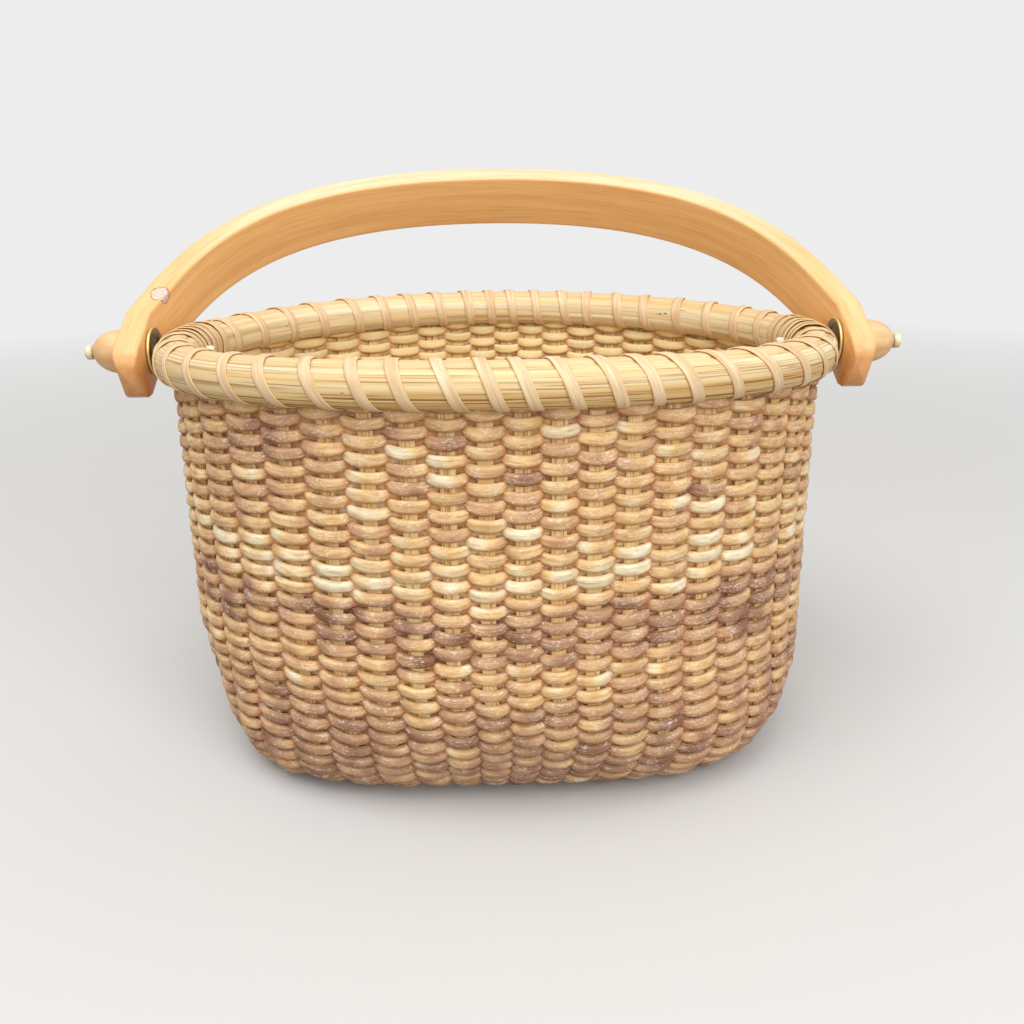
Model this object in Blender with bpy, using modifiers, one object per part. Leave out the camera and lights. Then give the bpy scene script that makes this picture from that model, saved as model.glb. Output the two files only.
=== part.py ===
"""Oval cane basket with a wooden base, lashed hoops and a swing handle, in separate pieces.

Metres, +Z up. The origin is the centre of the base board's underside, +X runs along the
long axis, and the handle leans back towards +Y. Round the basket, a place is counted in
staves: whole numbers are staves, and halves are the gaps between them.
"""
import math

import bmesh
import bpy
from mathutils import Vector

# Clearances between pieces
CLEARANCE = 0.0003
OVERRUN = 0.002
MERGE_DISTANCE = 0.00005

# Hoops of the rim: size over the outer hoop, and how far the ends sag below the sides
RIM_HALF_LENGTH = 0.108
RIM_HALF_DEPTH = 0.085
RIM_TOP = 0.1395
RIM_END_DROP = 0.003
HOOP_HEIGHT = 0.0122
OUTER_HOOP_THICKNESS = 0.0062
INNER_HOOP_THICKNESS = 0.0058
HOOP_SHOULDER_SHARE = 0.3
HOOP_FLAT_SHARE = 0.7
HOOP_ROUND_SHARES = ((HOOP_SHOULDER_SHARE, 1), (0.72, 0.82), (1, 0.3))

# Cap strip in the valley between the hoops
CAP_THICKNESS = 0.0011
CAP_SINK = 0.00015

# Lashing round the hoops, one loop in each gap between staves
LASHING_WIDTH = 0.003
LASHING_THICKNESS = 0.0008
LASHING_LOOPS = (23, 22)

# Base board with a groove round its edge
BOARD_HALF_LENGTH = 0.0777
BOARD_HALF_DEPTH = 0.0505
BOARD_THICKNESS = 0.007
BOARD_EDGE_ROUND = 0.0012
BOARD_FACETS = 64
GROOVE_FLOOR = 0.002
GROOVE_DEPTH = 0.004

# Staves, crowded on the long sides, fanned out at the ends and set a little towards +X
STAVE_COUNT = 45
STAVE_THICKNESS = 0.001
STAVE_TOP_WIDTH = 0.0048
STAVE_FOOT_WIDTH = 0.0034
STAVE_CROWD_SHARE = 0.16
STAVE_SHIFT_SHARE = 0.024

# Woven wall: it curves up from the board, then runs straight to the hoops, and it passes
# behind each stave and stands forward in the gaps between them
WALL_THICKNESS = 0.0015
WALL_RISE = 0.0007
CURVE_HEIGHT = 0.045
CURVE_STEPS = 9
CURVE_POWER = 1.7
FOOT_SQUARENESS = 3.6
RIM_SQUARENESS = 2

# Pivot pins, washers and knobs
PIN_RADIUS = 0.0015
PIN_INNER_REACH = 0.003
PIN_HEAD_RADIUS = 0.0024
PIN_HEAD_HEIGHT = 0.002
WASHER_RADIUS = 0.0078
WASHER_THICKNESS = 0.001
WASHER_STAND_OFF = 0.0019
KNOB_RADIUS = 0.007
KNOB_HEIGHT = 0.0105
KNOB_EDGE_SHARE = 0.25
KNOB_DOME_SHARES = (0.35, 0.65, 0.9)
TURNED_STEPS = 16

# Swing handle
HANDLE_TILT = math.radians(61)
HANDLE_RISE = 0.0929
HANDLE_CROWN_THICKNESS = 0.0082
HANDLE_CROWN_WIDTH = 0.0194
HANDLE_EDGE_CHAMFER = 0.0012
HANDLE_ARC_STEPS = 15
EAR_THICKNESS = 0.008
EAR_WIDTH = 0.019
EAR_DROP = 0.0152
EAR_CHAMFER = 0.004
EAR_RISE = 0.0085
EAR_STATIONS = 2
LEG_LEAN = math.radians(20)
LEG_PULL = 0.022
CROWN_PULL = 0.1015

# Sizes that follow from those above
STAVE_HALF_LENGTH = RIM_HALF_LENGTH - OUTER_HOOP_THICKNESS - CLEARANCE
STAVE_HALF_DEPTH = RIM_HALF_DEPTH - OUTER_HOOP_THICKNESS - CLEARANCE
STAVE_FOOT_HEIGHT = GROOVE_FLOOR + CLEARANCE
GROOVE_HEIGHT = STAVE_THICKNESS + 2 * CLEARANCE
FOOT_HALF_LENGTH = BOARD_HALF_LENGTH + CLEARANCE
FOOT_HALF_DEPTH = BOARD_HALF_DEPTH + CLEARANCE
SEAM_HALF = STAVE_THICKNESS / 2 + CLEARANCE
LASHING_OFFSET = CLEARANCE + LASHING_THICKNESS / 2
PIVOT_HEIGHT = RIM_TOP - RIM_END_DROP - HOOP_HEIGHT / 2
BORE_RADIUS = PIN_RADIUS + CLEARANCE
EAR_INNER = RIM_HALF_LENGTH + WASHER_STAND_OFF + WASHER_THICKNESS + CLEARANCE
EAR_MIDDLE = EAR_INNER + EAR_THICKNESS / 2
EAR_OUTER = EAR_INNER + EAR_THICKNESS


def clear_scene():
    for item in list(bpy.data.objects):
        bpy.data.objects.remove(item, do_unlink=True)


def new_collection(name):
    collection = bpy.data.collections.new(name)
    bpy.context.scene.collection.children.link(collection)
    return collection


def new_material(name, colour, roughness, metallic):
    material = bpy.data.materials.new(name)
    material.use_nodes = True
    shader = material.node_tree.nodes["Principled BSDF"]
    shader.inputs["Base Color"].default_value = (*colour, 1)
    shader.inputs["Roughness"].default_value = roughness
    shader.inputs["Metallic"].default_value = metallic
    return material


def new_object(name, mesh, material, collection):
    mesh.materials.append(material)
    piece = bpy.data.objects.new(name, mesh)
    collection.objects.link(piece)
    return piece


def loft(name, rings, closed):
    """Mesh through rings of points, round a closed path or capped at both ends."""
    shape = bmesh.new()
    layers = [[shape.verts.new(point) for point in ring] for ring in rings]
    following = layers[1:] + layers[:1] if closed else layers[1:]
    for near, far in zip(layers, following):
        for k in range(len(near)):
            j = (k + 1) % len(near)
            shape.faces.new((near[k], near[j], far[j], far[k]))
    if not closed:
        shape.faces.new(layers[0])
        shape.faces.new(layers[-1])
    bmesh.ops.recalc_face_normals(shape, faces=shape.faces)
    mesh = bpy.data.meshes.new(name)
    shape.to_mesh(mesh)
    shape.free()
    return mesh


def turned(name, profile, closed, material, collection):
    """Piece turned about its own Z from a profile of (radius, height) points."""
    points = [(radius, 0, height) for radius, height in profile]
    edges = [(k, k + 1) for k in range(len(points) - 1)]
    if closed:
        edges.append((len(points) - 1, 0))
    mesh = bpy.data.meshes.new(name)
    mesh.from_pydata(points, edges, [])
    piece = new_object(name, mesh, material, collection)
    screw = piece.modifiers.new("Turn", "SCREW")
    screw.steps = TURNED_STEPS
    screw.render_steps = TURNED_STEPS
    screw.use_smooth_shade = True
    screw.use_merge_vertices = True
    screw.merge_threshold = MERGE_DISTANCE
    return piece


def drill(piece, cutter):
    """Cut the pivot bore through a piece."""
    bore = piece.modifiers.new("Pivot bore", "BOOLEAN")
    bore.operation = "DIFFERENCE"
    bore.solver = "EXACT"
    bore.object = cutter


def oval_point(direction, half_length, half_depth, squareness):
    """Point of an oval in this direction from its centre."""
    across = abs(math.cos(direction) / half_length) ** squareness
    deep = abs(math.sin(direction) / half_depth) ** squareness
    reach = (across + deep) ** (-1 / squareness)
    return Vector((reach * math.cos(direction), reach * math.sin(direction), 0))


def oval_normal(point, half_length, half_depth, squareness):
    """Outward normal of an oval at one of its points."""
    across = abs(point.x / half_length) ** (squareness - 1) / half_length
    deep = abs(point.y / half_depth) ** (squareness - 1) / half_depth
    normal = Vector((math.copysign(across, point.x), math.copysign(deep, point.y), 0))
    return normal.normalized()


def place_direction(place, half_length, half_depth):
    """Direction of a place on an oval of these sizes, with a stave on +X and a gap on -X."""
    turn = 2 * math.pi * place / STAVE_COUNT
    bent = turn + STAVE_CROWD_SHARE * math.sin(2 * turn) - STAVE_SHIFT_SHARE * math.sin(turn)
    return math.atan2(half_depth * math.sin(bent), half_length * math.cos(bent))


def rim_top(point):
    """Height of the hoops' top edge, which sags towards the two ends."""
    return RIM_TOP - RIM_END_DROP * (point.x / STAVE_HALF_LENGTH) ** 2


def curve_station(place, step):
    """Point, outward normal and stave width at one step of the curve above the board."""
    left_share = math.cos(math.pi / 2 * step / CURVE_STEPS)
    out_share = (1 - left_share ** CURVE_POWER) ** (1 / CURVE_POWER)
    half_length = FOOT_HALF_LENGTH + (STAVE_HALF_LENGTH - FOOT_HALF_LENGTH) * out_share
    half_depth = FOOT_HALF_DEPTH + (STAVE_HALF_DEPTH - FOOT_HALF_DEPTH) * out_share
    squareness = RIM_SQUARENESS + (FOOT_SQUARENESS - RIM_SQUARENESS) * left_share ** 2
    direction = place_direction(place, half_length, half_depth)
    point = oval_point(direction, half_length, half_depth, squareness)
    normal = oval_normal(point, half_length, half_depth, squareness)
    point.z = STAVE_FOOT_HEIGHT + CURVE_HEIGHT * (1 - left_share)
    width = STAVE_FOOT_WIDTH + (STAVE_TOP_WIDTH - STAVE_FOOT_WIDTH) * (1 - left_share)
    return point, normal, width


def stave_stations(place):
    """Stations up a stave's outer face: point, direction across, direction inward, width."""
    rows = [curve_station(place, step) for step in range(CURVE_STEPS + 1)]
    foot, foot_normal, foot_width = rows[0]
    tongue = foot * (1 - GROOVE_DEPTH / foot.xy.length)
    tongue.z = foot.z
    head, head_normal, head_width = rows[-1]
    tip = head.copy()
    tip.z = rim_top(head) - CAP_SINK - CAP_THICKNESS - CLEARANCE
    rows = [(tongue, foot_normal, foot_width)] + rows + [(tip, head_normal, head_width)]
    stations = []
    for k, (point, normal, width) in enumerate(rows):
        before = rows[max(k - 1, 0)][0]
        after = rows[min(k + 1, len(rows) - 1)][0]
        across = Vector((-normal.y, normal.x, 0))
        inward = (after - before).cross(across).normalized()
        if inward.z < inward.dot(normal):
            inward.negate()
        stations.append((point, across, inward, width))
    return stations


def make_stave(place, material, collection):
    name = "stave_{:02d}".format(place + 1)
    rings = []
    for point, across, inward, width in stave_stations(place):
        side = across * (width / 2)
        depth = inward * STAVE_THICKNESS
        rings.append([point - side, point + side, point + side + depth, point - side + depth])
    return new_object(name, loft(name, rings, False), material, collection)


def make_wall(material, collection):
    """Woven wall: a band that passes behind each stave and stands forward in the gaps."""
    under_rim = HOOP_HEIGHT + LASHING_THICKNESS + 2 * CLEARANCE
    rings = []
    for place in range(STAVE_COUNT):
        stations = stave_stations(place)[1:]
        for sign, rise in ((-1, WALL_RISE), (-1, 0), (1, 0), (1, WALL_RISE)):
            outer = []
            inner = []
            for k, (point, across, inward, width) in enumerate(stations):
                step = Vector((0, 0, 1 / inward.z)) if k == 0 else inward
                side = across * (sign * (width / 2 + CLEARANCE + rise))
                face = point + side + step * (STAVE_THICKNESS + CLEARANCE - rise)
                outer.append(face)
                inner.append(face + step * WALL_THICKNESS)
            top = rim_top(stations[-1][0]) - under_rim
            outer[-1].z = top
            inner[-1].z = top
            rings.append(outer + inner[::-1])
    return new_object("woven_wall", loft("woven_wall", rings, True), material, collection)


def make_board(material, collection):
    """Base board: an oval slab with rounded edges and a groove for the staves' feet."""
    ceiling = GROOVE_FLOOR + GROOVE_HEIGHT
    levels = [
        (0, BOARD_EDGE_ROUND),
        (BOARD_EDGE_ROUND, 0),
        (GROOVE_FLOOR, 0),
        (GROOVE_FLOOR, GROOVE_DEPTH + CLEARANCE),
        (ceiling, GROOVE_DEPTH + CLEARANCE),
        (ceiling, 0),
        (BOARD_THICKNESS - BOARD_EDGE_ROUND, 0),
        (BOARD_THICKNESS, BOARD_EDGE_ROUND),
    ]
    rings = []
    for height, inset in levels:
        ring = []
        for k in range(BOARD_FACETS):
            direction = 2 * math.pi * k / BOARD_FACETS
            point = oval_point(direction, BOARD_HALF_LENGTH, BOARD_HALF_DEPTH, FOOT_SQUARENESS)
            point *= 1 - inset / point.xy.length
            point.z = height
            ring.append(point)
        rings.append(ring)
    return new_object("base_board", loft("base_board", rings, False), material, collection)


def rim_frames():
    """Points of the staves' outer faces round the rim, each with its outward normal."""
    frames = []
    for place in range(STAVE_COUNT):
        point, normal, width = curve_station(place, CURVE_STEPS)
        across = Vector((-normal.y, normal.x, 0))
        middle = rim_top(point) - HOOP_HEIGHT / 2
        for sign in (-1, 1):
            corner = point + across * (sign * width / 2)
            corner.z = middle
            frames.append((corner - normal * (STAVE_THICKNESS / 2), normal))
    return frames


def sweep_round_rim(name, section, material, collection):
    """Closed sweep of a section of (outward, up) points from the seam between the hoops."""
    rings = []
    for middle, normal in rim_frames():
        rings.append([middle + normal * outward + Vector((0, 0, up)) for outward, up in section])
    return new_object(name, loft(name, rings, True), material, collection)


def hoop_corners(thickness, sign):
    """Rounded side of a hoop's section, from its top to its bottom."""
    half = HOOP_HEIGHT / 2
    upper = [(sign * (SEAM_HALF + thickness * u), half * v) for u, v in HOOP_ROUND_SHARES]
    return upper + [(outward, -up) for outward, up in reversed(upper)]


def hoop_section(thickness, sign):
    """Half-round section of a hoop, flat on the side that meets the staves."""
    flat = HOOP_HEIGHT / 2 * HOOP_FLAT_SHARE
    return hoop_corners(thickness, sign) + [(sign * SEAM_HALF, -flat), (sign * SEAM_HALF, flat)]


def cap_section():
    """Strip that fills the valley between the hoops' shoulders."""
    half = HOOP_HEIGHT / 2
    top = half - CAP_SINK
    bottom = top - CAP_THICKNESS
    reach = []
    for level in (top, bottom):
        share = HOOP_SHOULDER_SHARE * (level / half - HOOP_FLAT_SHARE) / (1 - HOOP_FLAT_SHARE)
        reach.append(SEAM_HALF + INNER_HOOP_THICKNESS * share - math.sqrt(2) * CLEARANCE)
    return [(-reach[0], top), (reach[0], top), (reach[1], bottom), (-reach[1], bottom)]


def offset_corner(before, corner, after, distance):
    """Corner of a section moved outward, so that both its sides move by the distance."""
    incoming = (corner - before).normalized()
    outgoing = (after - corner).normalized()
    mitre = Vector((-incoming.y - outgoing.y, incoming.x + outgoing.x))
    mitre.normalize()
    return corner + mitre * (distance / mitre.dot(Vector((-incoming.y, incoming.x))))


def lashing_section():
    """Middle line of one loop of lashing, from under the inner hoop over to the outer one."""
    inner = list(reversed(hoop_corners(INNER_HOOP_THICKNESS, -1)))
    outer = hoop_corners(OUTER_HOOP_THICKNESS, 1)
    corners = [Vector(corner) for corner in inner + outer]
    count = len(corners)
    moved = []
    for k in range(count):
        before = corners[k - 1]
        after = corners[(k + 1) % count]
        moved.append(offset_corner(before, corners[k], after, LASHING_OFFSET))
    return moved


def lashing_point(place, corner):
    """Point of the lashing at a place round the rim, and its way out from the seam."""
    direction = place_direction(place, STAVE_HALF_LENGTH, STAVE_HALF_DEPTH)
    point = oval_point(direction, STAVE_HALF_LENGTH, STAVE_HALF_DEPTH, RIM_SQUARENESS)
    normal = oval_normal(point, STAVE_HALF_LENGTH, STAVE_HALF_DEPTH, RIM_SQUARENESS)
    point.z = rim_top(point) - HOOP_HEIGHT / 2 + corner.y
    point += normal * (corner.x - STAVE_THICKNESS / 2)
    return point, normal


def make_lashing(name, first_gap, loops, material, collection):
    """One length of flat cane wound round both hoops, once in each gap between staves."""
    section = lashing_section()
    count = len(section)
    path = []
    for step in range(loops * count):
        loop, k = divmod(step, count)
        place = first_gap + loop - 0.5 + (k + 0.5) / count
        point, normal = lashing_point(place, section[k])
        before = section[k - 1]
        after = section[(k + 1) % count]
        run = after - before
        outward = (normal * -run.y + Vector((0, 0, run.x))).normalized()
        path.append((point, outward))
    rings = []
    for k, (point, outward) in enumerate(path):
        along = path[min(k + 1, len(path) - 1)][0] - path[max(k - 1, 0)][0]
        side = along.cross(outward).normalized() * (LASHING_WIDTH / 2)
        depth = side.cross(along).normalized() * (LASHING_THICKNESS / 2)
        under = point - depth
        over = point + depth
        rings.append([under - side, under + side, over + side, over - side])
    middle_line = [point for point, outward in path]
    print(name, "loops", loops, "least gap to itself in metres", round(least_gap(middle_line, count), 5))
    return new_object(name, loft(name, rings, False), material, collection)


def least_gap(points, count):
    """Least gap between the edges of one loop and the next."""
    spans = [(a - b).length for a, b in zip(points, points[count:])]
    return min(spans) - LASHING_WIDTH


def bezier(start, start_pull, end_pull, end, share):
    left = 1 - share
    blend = start * left ** 3 + start_pull * (3 * left ** 2 * share)
    return blend + end_pull * (3 * left * share ** 2) + end * share ** 3


def handle_line():
    """Half of the handle's middle line, from the foot of the +X ear to the crown."""
    ear_top = Vector((EAR_MIDDLE, 0, EAR_RISE))
    leg = ear_top + Vector((-math.sin(LEG_LEAN), 0, math.cos(LEG_LEAN))) * LEG_PULL
    crown = Vector((0, 0, HANDLE_RISE))
    shoulder = crown + Vector((CROWN_PULL, 0, 0))
    line = [Vector((EAR_MIDDLE, 0, -EAR_DROP)), Vector((EAR_MIDDLE, 0, EAR_CHAMFER - EAR_DROP))]
    for step in range(HANDLE_ARC_STEPS + 1):
        line.append(bezier(ear_top, leg, shoulder, crown, step / HANDLE_ARC_STEPS))
    return line


def handle_section(middle, along, thickness, width):
    """Flat section with chamfered edges, square to the handle's middle line."""
    outward = Vector((along.z, 0, -along.x)).normalized()
    depth = Vector((0, 1, 0))
    flat = width / 2 - HANDLE_EDGE_CHAMFER
    edge = thickness / 2 - HANDLE_EDGE_CHAMFER
    ring = []
    for across, out in ((-1, -1), (1, -1), (1, 1), (-1, 1)):
        broad = middle + depth * (across * flat) + outward * (out * thickness / 2)
        narrow = middle + depth * (across * width / 2) + outward * (out * edge)
        ring += [narrow, broad] if across * out > 0 else [broad, narrow]
    return ring


def make_handle(material, collection):
    """Bent wooden handle: two ears, two legs and a crown, leaning back on its pivots."""
    half = handle_line()
    mirrored = [Vector((-point.x, 0, point.z)) for point in reversed(half[:-1])]
    line = half + mirrored
    rings = []
    for k, point in enumerate(line):
        step = min(k, len(line) - 1 - k)
        share = max(0, (step - EAR_STATIONS) / HANDLE_ARC_STEPS)
        thickness = EAR_THICKNESS + (HANDLE_CROWN_THICKNESS - EAR_THICKNESS) * share
        width = EAR_WIDTH + (HANDLE_CROWN_WIDTH - EAR_WIDTH) * share
        if step == 0:
            width -= 2 * EAR_CHAMFER
        along = line[min(k + 1, len(line) - 1)] - line[max(k - 1, 0)]
        rings.append(handle_section(point, along, thickness, width))
    handle = new_object("handle", loft("handle", rings, False), material, collection)
    handle.location = (0, 0, PIVOT_HEIGHT)
    handle.rotation_euler = (-HANDLE_TILT, 0, 0)
    return handle


def pin_profile():
    """Pivot pin from its domed outer head to its inner end, with its height from the knob."""
    inner_face = RIM_HALF_LENGTH - OUTER_HOOP_THICKNESS - STAVE_THICKNESS - INNER_HOOP_THICKNESS
    inner_end = inner_face - 2 * CLEARANCE - PIN_INNER_REACH - knob_top()
    return [
        (0, CLEARANCE + PIN_HEAD_HEIGHT),
        (PIN_HEAD_RADIUS / 2, CLEARANCE + PIN_HEAD_HEIGHT),
        (PIN_HEAD_RADIUS, CLEARANCE + PIN_HEAD_HEIGHT / 2),
        (PIN_HEAD_RADIUS, CLEARANCE),
        (PIN_RADIUS, CLEARANCE),
        (PIN_RADIUS, inner_end),
        (0, inner_end),
    ]


def knob_top():
    """Distance of the knob's outer end from the middle of the basket."""
    return EAR_OUTER + CLEARANCE + KNOB_HEIGHT


def knob_profile():
    """Domed knob with its bore, from its flat outer end down to the face at the ear."""
    profile = [(PIN_HEAD_RADIUS, KNOB_HEIGHT)]
    for share in KNOB_DOME_SHARES:
        radius = PIN_HEAD_RADIUS + (KNOB_RADIUS - PIN_HEAD_RADIUS) * share
        profile.append((radius, KNOB_HEIGHT * math.sqrt(1 - share ** 2)))
    profile.append((KNOB_RADIUS, KNOB_HEIGHT * KNOB_EDGE_SHARE))
    profile.append((KNOB_RADIUS, 0))
    profile.append((BORE_RADIUS, 0))
    profile.append((BORE_RADIUS, KNOB_HEIGHT))
    return profile


def washer_profile():
    return [
        (WASHER_RADIUS, WASHER_THICKNESS),
        (WASHER_RADIUS, 0),
        (BORE_RADIUS, 0),
        (BORE_RADIUS, WASHER_THICKNESS),
    ]


def make_pivot(side, sign, finishes, collection):
    """Pin, washer and knob of one ear, turned about the pivot axis."""
    washer_reach = EAR_INNER - CLEARANCE - WASHER_THICKNESS
    pieces = [
        ("pivot_pin_", pin_profile(), False, finishes["pin"], knob_top()),
        ("washer_", washer_profile(), True, finishes["washer"], washer_reach),
        ("knob_", knob_profile(), True, finishes["knob"], EAR_OUTER + CLEARANCE),
    ]
    for stem, profile, closed, finish, reach in pieces:
        piece = turned(stem + side, profile, closed, finish, collection)
        piece.location = (sign * reach, 0, PIVOT_HEIGHT)
        piece.rotation_euler = (0, sign * math.pi / 2, 0)


def make_bore_cutter(collection):
    """Rod on the pivot axis that is cut from what the pins pass through."""
    bpy.ops.mesh.primitive_cylinder_add(
        vertices=TURNED_STEPS,
        radius=BORE_RADIUS,
        depth=2 * (EAR_OUTER + OVERRUN),
        location=(0, 0, PIVOT_HEIGHT),
        rotation=(0, math.pi / 2, 0),
    )
    cutter = bpy.context.object
    cutter.name = "pivot_bore_cutter"
    for owner in list(cutter.users_collection):
        owner.objects.unlink(cutter)
    collection.objects.link(cutter)
    cutter.display_type = "WIRE"
    cutter.hide_render = True
    return cutter


def main():
    clear_scene()
    parts = new_collection("oval_swing_handle_basket")
    cutters = new_collection("cutters")
    cane = new_material("woven_cane", (0.62, 0.44, 0.27), 0.75, 0)
    stave_reed = new_material("stave_rattan", (0.72, 0.52, 0.28), 0.7, 0)
    hoop_wood = new_material("hoop_rattan", (0.78, 0.62, 0.37), 0.6, 0)
    cap_reed = new_material("cap_rattan", (0.74, 0.56, 0.33), 0.65, 0)
    lashing_cane = new_material("lashing_cane", (0.8, 0.62, 0.44), 0.6, 0)
    board_wood = new_material("board_wood", (0.6, 0.4, 0.2), 0.55, 0)
    handle_wood = new_material("handle_wood", (0.76, 0.52, 0.28), 0.45, 0)
    finishes = {
        "pin": new_material("pin_peg", (0.86, 0.8, 0.66), 0.4, 0),
        "washer": new_material("washer_brass", (0.52, 0.41, 0.22), 0.4, 1),
        "knob": new_material("knob_wood", (0.72, 0.48, 0.27), 0.5, 0),
    }
    cutter = make_bore_cutter(cutters)
    make_board(board_wood, parts)
    staves = [make_stave(place, stave_reed, parts) for place in range(STAVE_COUNT)]
    make_wall(cane, parts)
    outer_hoop = sweep_round_rim("outer_rim", hoop_section(OUTER_HOOP_THICKNESS, 1), hoop_wood, parts)
    inner_hoop = sweep_round_rim("inner_rim", hoop_section(INNER_HOOP_THICKNESS, -1), hoop_wood, parts)
    sweep_round_rim("rim_cap", cap_section(), cap_reed, parts)
    first_gap = 0
    for number, loops in enumerate(LASHING_LOOPS):
        make_lashing("rim_lashing_{}".format(number + 1), first_gap, loops, lashing_cane, parts)
        first_gap += loops
    handle = make_handle(handle_wood, parts)
    make_pivot("right", 1, finishes, parts)
    make_pivot("left", -1, finishes, parts)
    for piece in (outer_hoop, inner_hoop, staves[0], handle):
        drill(piece, cutter)


main()
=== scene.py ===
"""Looks of the oval cane basket: weave, hoops, lashings, handle, pivots and their finishes.

Metres, in the frame of the solids. Round the basket, a place is counted in staves: whole
numbers are staves, and halves are the gaps between them.
"""

import math

import bpy
import numpy as np
from mathutils import Matrix, Vector

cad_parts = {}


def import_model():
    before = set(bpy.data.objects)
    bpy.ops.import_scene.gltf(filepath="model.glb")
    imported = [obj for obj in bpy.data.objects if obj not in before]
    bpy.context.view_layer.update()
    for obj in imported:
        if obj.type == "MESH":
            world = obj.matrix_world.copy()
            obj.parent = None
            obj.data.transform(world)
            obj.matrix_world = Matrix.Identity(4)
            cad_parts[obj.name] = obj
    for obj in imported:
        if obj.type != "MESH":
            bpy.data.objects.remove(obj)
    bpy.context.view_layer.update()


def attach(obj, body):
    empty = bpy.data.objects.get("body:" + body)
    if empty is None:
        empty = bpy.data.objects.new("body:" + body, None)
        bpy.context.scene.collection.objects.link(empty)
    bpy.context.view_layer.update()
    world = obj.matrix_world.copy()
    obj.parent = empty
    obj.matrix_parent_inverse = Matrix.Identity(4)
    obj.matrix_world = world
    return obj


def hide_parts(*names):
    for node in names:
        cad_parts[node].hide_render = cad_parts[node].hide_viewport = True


# Sizes of the solids that the looks are built round
RIM_HALF_LENGTH = 0.108
RIM_HALF_DEPTH = 0.085
RIM_TOP = 0.1395
RIM_END_DROP = 0.003
HOOP_HEIGHT = 0.0122
OUTER_HOOP_THICKNESS = 0.0062
INNER_HOOP_THICKNESS = 0.0058
SEAM_HALF = 0.0008
STAVE_COUNT = 45
STAVE_THICKNESS = 0.001
STAVE_CROWD_SHARE = 0.16
STAVE_SHIFT_SHARE = 0.024
STAVE_HALF_LENGTH = 0.1015
STAVE_HALF_DEPTH = 0.0785
STAVE_FOOT_HEIGHT = 0.0023
FOOT_HALF_LENGTH = 0.078
FOOT_HALF_DEPTH = 0.0508
CURVE_HEIGHT = 0.045
CURVE_POWER = 1.7
FOOT_SQUARENESS = 3.6
RIM_SQUARENESS = 2
PIVOT_HEIGHT = 0.1304
HANDLE_TILT = math.radians(61)

# Weave: one continuous weaver in a rising spiral
WALL_COLUMN_STEPS = 8
WALL_LEVELS = 110
WALL_CURVE_STEPS = 48
WEAVE_INSET = 0.0008
WEAVE_INSET_FADE_SHARE = 0.1
WEAVE_LEAN = 0.0015
ROW_COUNT = 55
ROWS_INTO_RIM = 1.5
ROW_HEIGHT = 0.0024
WEAVER_THICKNESS = 0.0022
WEAVER_GAP_HEIGHT = 0.0029
WEAVER_STAVE_HEIGHT = 0.0037
WEAVER_SWING = 0.0017
WEAVER_STEEPNESS = 1.4
WEAVER_SAG = 0.0008
WEAVER_WANDER = 0.00022
WEAVER_SECTION_POINTS = 12

# Staves of the weave
STAVE_TOP_WIDTH = 0.0043
STAVE_FOOT_WIDTH = 0.0034
STAVE_RIB_DEPTH = 0.00008
STAVE_RIBS = 5
STAVE_STATIONS = 60
STAVE_TONGUE = 0.0035

# Hoops, cap strip and lashing of the rim
HOOP_LIFT = 0.0004
HOOP_SECTION_POINTS = 26
HOOP_ROUNDNESS = 2.5
HOOP_GRAIN_DEPTH = 0.00018
SCARF_PLACES = 2.6
SCARF_STEP_PLACES = 0.15
SCARF_UNDER_SHARE = 0.68
OUTER_SCARF_PLACE = 41.5
INNER_SCARF_PLACE = 33.4
CAP_HALF_WIDTH = 0.0029
CAP_THICKNESS = 0.0014
CAP_SECTION_POINTS = 14
LASHING_LOOPS = (23, 22)
LASHING_WIDTH = 0.0034
LASHING_THICKNESS = 0.0005
LASHING_LOOP_STEPS = 96
LASHING_EASE_STEPS = 4
LASHING_SLANT = 1.6
BINDING_WIDTH = 0.0045
BINDING_TILTS = {"right": math.radians(-9), "left": math.radians(9)}
BINDING_TURN_PLACES = 0.28
BINDING_PLACES = {"right": (-0.6, 1.2), "left": (21.2, 22.65)}
HULL_DIRECTIONS = 360

# Handle and pivots
EAR_MIDDLE = 0.1152
EAR_INNER = 0.1112
EAR_OUTER = 0.1192
EAR_THICKNESS = 0.008
EAR_WIDTH = 0.019
EAR_DROP = 0.0152
EAR_RISE = 0.0085
EAR_CHAMFER = 0.004
EAR_STEPS = 10
HANDLE_RISE = 0.0929
HANDLE_CROWN_THICKNESS = 0.0082
HANDLE_CROWN_WIDTH = 0.0194
HANDLE_ARC_STEPS = 60
HANDLE_EDGE_ROUND = 0.0009
HANDLE_CORNER_POINTS = 5
HANDLE_STAIN_LENGTH = 0.006
HANDLE_STAIN_START_SHARE = 0.35
LEG_LEAN = math.radians(20)
LEG_PULL = 0.022
CROWN_PULL = 0.1015
BARK_POINT = (-0.1102, 0.0112, 0.1475)
BARK_WIDTH = 0.0068
PIN_RADIUS = 0.0015
PIN_HEAD_RADIUS = 0.0024
PIN_HEAD_HEIGHT = 0.002
PIN_INNER_REACH = 0.003
WASHER_RADIUS = 0.0078
WASHER_THICKNESS = 0.001
WASHER_EDGE = 0.0003
BORE_RADIUS = 0.0018
KNOB_RADIUS = 0.007
KNOB_HEIGHT = 0.0105
CLEARANCE = 0.0003
TURNED_STEPS = 64
DOME_STEPS = 14

# Camera at the photograph's viewing angle
CAMERA_POINT = (-0.005235, -0.325852, RIM_TOP + 0.043375)
CAMERA_YAW = math.radians(1.6548)
CAMERA_PITCH = math.radians(-18.5743)
CAMERA_ROLL = math.radians(-0.5678)
CAMERA_LENS = 35.156
CAMERA_SENSOR = 36

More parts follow.
